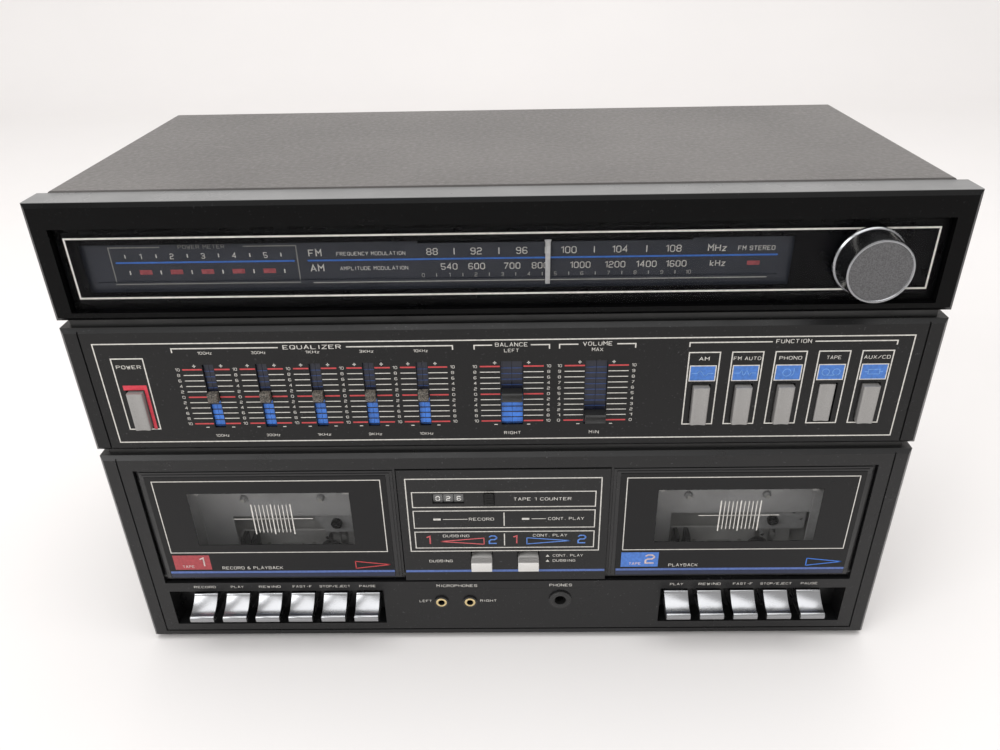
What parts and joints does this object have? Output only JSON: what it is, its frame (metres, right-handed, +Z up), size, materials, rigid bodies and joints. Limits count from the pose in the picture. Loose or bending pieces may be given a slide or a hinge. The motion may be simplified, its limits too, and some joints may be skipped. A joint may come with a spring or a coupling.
{
  "type": "cassette player",
  "caption": "Black tabletop stereo with a radio dial, slide equaliser, piano keys and hinged cassette doors.",
  "frame": {"origin": "centre of the bounding box in plan, at the underside of the feet", "axes": "+Z up, +X to the right of someone facing the front, +Y towards the back"},
  "size_m": [0.41, 0.1976, 0.262],
  "materials": {
    "cover_vinyl": "wrinkle-grained dark grey vinyl on steel",
    "plated_steel": "zinc-plated",
    "painted_steel": "black paint",
    "black_plastic": "moulded black",
    "bezel_plastic": "satin black moulding",
    "panel_plastic": "satin black moulding",
    "smoked_window": "glossy smoked acrylic",
    "scale_plate": "printed dark plate",
    "foot_rubber": "moulded rubber",
    "screw_steel": "black zinc",
    "slot_plastic": "blue and black moulding",
    "circuit_board": "phenolic board",
    "transformer_steel": "laminated steel",
    "socket_metal": "nickel",
    "jack_metal": "gold-coloured rings",
    "bright_knob": "satin face and bright sides",
    "drum_plastic": "natural nylon",
    "pointer_plastic": "light grey",
    "silver_plastic": "silver paint",
    "cap_grey": "moulded grey",
    "cap_black": "moulded black",
    "number_wheel": "black with white numbers",
    "bright_key": "plated plastic",
    "spindle_plastic": "white moulding",
    "machined_metal": "turned",
    "door_plastic": "black frame with clear smoked pane"
  },
  "bodies": {
    "cabinet": {"cabinet_cover": "cover_vinyl", "base_pan": "plated_steel", "rear_panel": "painted_steel", "front_frame": "black_plastic", "tuner_bezel": "bezel_plastic", "equaliser_bezel": "bezel_plastic", "deck_bezel": "bezel_plastic", "centre_panel": "panel_plastic", "dial_window": "smoked_window", "dial_scale": "scale_plate", "rubber_feet": "foot_rubber", "case_screws": "screw_steel", "slot_liners": "slot_plastic", "circuit_boards": "circuit_board", "power_transformer": "transformer_steel", "rear_sockets": "socket_metal", "front_jacks": "jack_metal", "deck_1_chassis": "plated_steel", "deck_2_chassis": "plated_steel"},
    "tuning_knob": {"tuning_knob": "bright_knob"},
    "tuning_drum": {"tuning_drum": "drum_plastic"},
    "dial_pointer": {"dial_pointer": "pointer_plastic"},
    "power_button": {"power_button": "silver_plastic"},
    "am_button": {"am_button": "silver_plastic"},
    "fm_button": {"fm_button": "silver_plastic"},
    "phono_button": {"phono_button": "silver_plastic"},
    "tape_button": {"tape_button": "silver_plastic"},
    "aux_button": {"aux_button": "silver_plastic"},
    "band_100hz_slider": {"band_100hz_slider": "cap_grey"},
    "band_300hz_slider": {"band_300hz_slider": "cap_grey"},
    "band_1khz_slider": {"band_1khz_slider": "cap_grey"},
    "band_3khz_slider": {"band_3khz_slider": "cap_grey"},
    "band_10khz_slider": {"band_10khz_slider": "cap_grey"},
    "balance_slider": {"balance_slider": "cap_black"},
    "volume_slider": {"volume_slider": "cap_black"},
    "dubbing_button": {"dubbing_button": "silver_plastic"},
    "mode_button": {"mode_button": "silver_plastic"},
    "counter_wheels": {"counter_wheels": "number_wheel"},
    "counter_reset_button": {"counter_reset_button": "cap_black"},
    "deck_1_record_key": {"deck_1_record_key": "bright_key"},
    "deck_1_play_key": {"deck_1_play_key": "bright_key"},
    "deck_1_rewind_key": {"deck_1_rewind_key": "bright_key"},
    "deck_1_fast_forward_key": {"deck_1_fast_forward_key": "bright_key"},
    "deck_1_stop_eject_key": {"deck_1_stop_eject_key": "bright_key"},
    "deck_1_pause_key": {"deck_1_pause_key": "bright_key"},
    "deck_1_supply_reel": {"deck_1_supply_reel": "spindle_plastic"},
    "deck_1_takeup_reel": {"deck_1_takeup_reel": "spindle_plastic"},
    "deck_1_flywheel": {"deck_1_flywheel": "machined_metal"},
    "deck_1_head_bridge": {"deck_1_head_bridge": "plated_steel"},
    "deck_1_door": {"deck_1_door": "door_plastic"},
    "deck_2_play_key": {"deck_2_play_key": "bright_key"},
    "deck_2_rewind_key": {"deck_2_rewind_key": "bright_key"},
    "deck_2_fast_forward_key": {"deck_2_fast_forward_key": "bright_key"},
    "deck_2_stop_eject_key": {"deck_2_stop_eject_key": "bright_key"},
    "deck_2_pause_key": {"deck_2_pause_key": "bright_key"},
    "deck_2_supply_reel": {"deck_2_supply_reel": "spindle_plastic"},
    "deck_2_takeup_reel": {"deck_2_takeup_reel": "spindle_plastic"},
    "deck_2_flywheel": {"deck_2_flywheel": "machined_metal"},
    "deck_2_head_bridge": {"deck_2_head_bridge": "plated_steel"},
    "deck_2_door": {"deck_2_door": "door_plastic"}
  },
  "joints": [
    {"name": "tuning", "type": "hinge", "parent": "cabinet", "child": "tuning_knob", "pos_m": [0.1629, -0.08595, 0.2296], "axis": [0, 1, 0], "range_deg": [-1050, 1164]},
    {"name": "drum_turn", "type": "hinge", "parent": "cabinet", "child": "tuning_drum", "pos_m": [0.118, -0.06195, 0.2296], "axis": [0, 1, 0], "range_deg": [-176, 195]},
    {"name": "pointer_slide", "type": "slide", "parent": "cabinet", "child": "dial_pointer", "axis": [1, 0, 0], "range_m": [-0.0551, 0.0611]},
    {"name": "power_press", "type": "slide", "parent": "cabinet", "child": "power_button", "axis": [0, 1, 0], "range_m": [0, 0.004], "stiffness_N_per_m": 200, "springref_m": -0.002},
    {"name": "am_press", "type": "slide", "parent": "cabinet", "child": "am_button", "axis": [0, 1, 0], "range_m": [0, 0.004], "stiffness_N_per_m": 200, "springref_m": -0.002},
    {"name": "fm_press", "type": "slide", "parent": "cabinet", "child": "fm_button", "axis": [0, 1, 0], "range_m": [0, 0.004], "stiffness_N_per_m": 200, "springref_m": -0.002},
    {"name": "phono_press", "type": "slide", "parent": "cabinet", "child": "phono_button", "axis": [0, 1, 0], "range_m": [0, 0.004], "stiffness_N_per_m": 200, "springref_m": -0.002},
    {"name": "tape_press", "type": "slide", "parent": "cabinet", "child": "tape_button", "axis": [0, 1, 0], "range_m": [-0.004, 0]},
    {"name": "aux_press", "type": "slide", "parent": "cabinet", "child": "aux_button", "axis": [0, 1, 0], "range_m": [0, 0.004], "stiffness_N_per_m": 200, "springref_m": -0.002},
    {"name": "band_100hz_slide", "type": "slide", "parent": "cabinet", "child": "band_100hz_slider", "axis": [0, 0, 1], "range_m": [-0.015, 0.015]},
    {"name": "band_300hz_slide", "type": "slide", "parent": "cabinet", "child": "band_300hz_slider", "axis": [0, 0, 1], "range_m": [-0.015, 0.015]},
    {"name": "band_1khz_slide", "type": "slide", "parent": "cabinet", "child": "band_1khz_slider", "axis": [0, 0, 1], "range_m": [-0.015, 0.015]},
    {"name": "band_3khz_slide", "type": "slide", "parent": "cabinet", "child": "band_3khz_slider", "axis": [0, 0, 1], "range_m": [-0.015, 0.015]},
    {"name": "band_10khz_slide", "type": "slide", "parent": "cabinet", "child": "band_10khz_slider", "axis": [0, 0, 1], "range_m": [-0.015, 0.015]},
    {"name": "balance_slide", "type": "slide", "parent": "cabinet", "child": "balance_slider", "axis": [0, 0, 1], "range_m": [-0.015, 0.015]},
    {"name": "volume_slide", "type": "slide", "parent": "cabinet", "child": "volume_slider", "axis": [0, 0, 1], "range_m": [-0.0025, 0.0275]},
    {"name": "dubbing_press", "type": "slide", "parent": "cabinet", "child": "dubbing_button", "axis": [0, 1, 0], "range_m": [0, 0.0025], "stiffness_N_per_m": 200, "springref_m": -0.002},
    {"name": "mode_press", "type": "slide", "parent": "cabinet", "child": "mode_button", "axis": [0, 1, 0], "range_m": [0, 0.0025], "stiffness_N_per_m": 200, "springref_m": -0.002},
    {"name": "counter_reset_press", "type": "slide", "parent": "cabinet", "child": "counter_reset_button", "axis": [0, 1, 0], "range_m": [0, 0.0015], "stiffness_N_per_m": 200, "springref_m": -0.002},
    {"name": "counter_turn", "type": "hinge", "parent": "cabinet", "child": "counter_wheels", "pos_m": [-0.0287, -0.07585, 0.1015], "axis": [1, 0, 0], "continuous": true},
    {"name": "deck_1_record_press", "type": "hinge", "parent": "cabinet", "child": "deck_1_record_key", "pos_m": [0, -0.06195, 0.028], "axis": [1, 0, 0], "range_deg": [0, 8], "stiffness_Nm_per_rad": 0.1, "springref_deg": -5.73},
    {"name": "deck_1_play_press", "type": "hinge", "parent": "cabinet", "child": "deck_1_play_key", "pos_m": [0, -0.06195, 0.028], "axis": [1, 0, 0], "range_deg": [0, 8], "stiffness_Nm_per_rad": 0.005, "springref_deg": -63.03},
    {"name": "deck_1_rewind_press", "type": "hinge", "parent": "cabinet", "child": "deck_1_rewind_key", "pos_m": [0, -0.06195, 0.028], "axis": [1, 0, 0], "range_deg": [0, 8], "stiffness_Nm_per_rad": 0.1, "springref_deg": -5.73},
    {"name": "deck_1_fast_forward_press", "type": "hinge", "parent": "cabinet", "child": "deck_1_fast_forward_key", "pos_m": [0, -0.06195, 0.028], "axis": [1, 0, 0], "range_deg": [0, 8], "stiffness_Nm_per_rad": 0.1, "springref_deg": -5.73},
    {"name": "deck_1_stop_eject_press", "type": "hinge", "parent": "cabinet", "child": "deck_1_stop_eject_key", "pos_m": [0, -0.06195, 0.028], "axis": [1, 0, 0], "range_deg": [0, 8], "stiffness_Nm_per_rad": 0.1, "springref_deg": -5.73},
    {"name": "deck_1_pause_press", "type": "hinge", "parent": "cabinet", "child": "deck_1_pause_key", "pos_m": [0, -0.06195, 0.028], "axis": [1, 0, 0], "range_deg": [0, 8], "stiffness_Nm_per_rad": 0.1, "springref_deg": -5.73},
    {"name": "deck_1_supply_turn", "type": "hinge", "parent": "cabinet", "child": "deck_1_supply_reel", "pos_m": [-0.14335, -0.06595, 0.088], "axis": [0, 1, 0], "continuous": true},
    {"name": "deck_1_takeup_turn", "type": "hinge", "parent": "cabinet", "child": "deck_1_takeup_reel", "pos_m": [-0.10085, -0.06595, 0.088], "axis": [0, 1, 0], "continuous": true},
    {"name": "deck_1_flywheel_turn", "type": "hinge", "parent": "cabinet", "child": "deck_1_flywheel", "pos_m": [-0.1001, -0.05095, 0.061], "axis": [0, 1, 0], "continuous": true},
    {"name": "deck_1_head_lift", "type": "slide", "parent": "cabinet", "child": "deck_1_head_bridge", "axis": [0, 0, 1], "range_m": [0, 0.005]},
    {"name": "deck_1_door_hinge", "type": "hinge", "parent": "cabinet", "child": "deck_1_door", "pos_m": [0, -0.08395, 0.0482], "axis": [1, 0, 0], "range_deg": [0, 30]},
    {"name": "deck_2_play_press", "type": "hinge", "parent": "cabinet", "child": "deck_2_play_key", "pos_m": [0, -0.06195, 0.028], "axis": [1, 0, 0], "range_deg": [0, 8], "stiffness_Nm_per_rad": 0.005, "springref_deg": -63.03},
    {"name": "deck_2_rewind_press", "type": "hinge", "parent": "cabinet", "child": "deck_2_rewind_key", "pos_m": [0, -0.06195, 0.028], "axis": [1, 0, 0], "range_deg": [0, 8], "stiffness_Nm_per_rad": 0.1, "springref_deg": -5.73},
    {"name": "deck_2_fast_forward_press", "type": "hinge", "parent": "cabinet", "child": "deck_2_fast_forward_key", "pos_m": [0, -0.06195, 0.028], "axis": [1, 0, 0], "range_deg": [0, 8], "stiffness_Nm_per_rad": 0.1, "springref_deg": -5.73},
    {"name": "deck_2_stop_eject_press", "type": "hinge", "parent": "cabinet", "child": "deck_2_stop_eject_key", "pos_m": [0, -0.06195, 0.028], "axis": [1, 0, 0], "range_deg": [0, 8], "stiffness_Nm_per_rad": 0.1, "springref_deg": -5.73},
    {"name": "deck_2_pause_press", "type": "hinge", "parent": "cabinet", "child": "deck_2_pause_key", "pos_m": [0, -0.06195, 0.028], "axis": [1, 0, 0], "range_deg": [0, 8], "stiffness_Nm_per_rad": 0.1, "springref_deg": -5.73},
    {"name": "deck_2_supply_turn", "type": "hinge", "parent": "cabinet", "child": "deck_2_supply_reel", "pos_m": [0.10085, -0.06595, 0.088], "axis": [0, 1, 0], "continuous": true},
    {"name": "deck_2_takeup_turn", "type": "hinge", "parent": "cabinet", "child": "deck_2_takeup_reel", "pos_m": [0.14335, -0.06595, 0.088], "axis": [0, 1, 0], "continuous": true},
    {"name": "deck_2_flywheel_turn", "type": "hinge", "parent": "cabinet", "child": "deck_2_flywheel", "pos_m": [0.1441, -0.05095, 0.061], "axis": [0, 1, 0], "continuous": true},
    {"name": "deck_2_head_lift", "type": "slide", "parent": "cabinet", "child": "deck_2_head_bridge", "axis": [0, 0, 1], "range_m": [0, 0.005]},
    {"name": "deck_2_door_hinge", "type": "hinge", "parent": "cabinet", "child": "deck_2_door", "pos_m": [0, -0.08395, 0.0482], "axis": [1, 0, 0], "range_deg": [0, 30]}
  ],
  "couplings": [
    {"joint": "drum_turn", "follows": "tuning", "ratio": 0.16667},
    {"joint": "pointer_slide", "follows": "tuning", "m_per_rad": 0.003},
    {"joint": "deck_1_play_press", "follows": "deck_1_head_lift", "rad_per_m": 27.92},
    {"joint": "deck_2_play_press", "follows": "deck_2_head_lift", "rad_per_m": 27.92},
    {"joint": "counter_turn", "follows": "deck_1_takeup_turn", "ratio": -0.05}
  ]
}
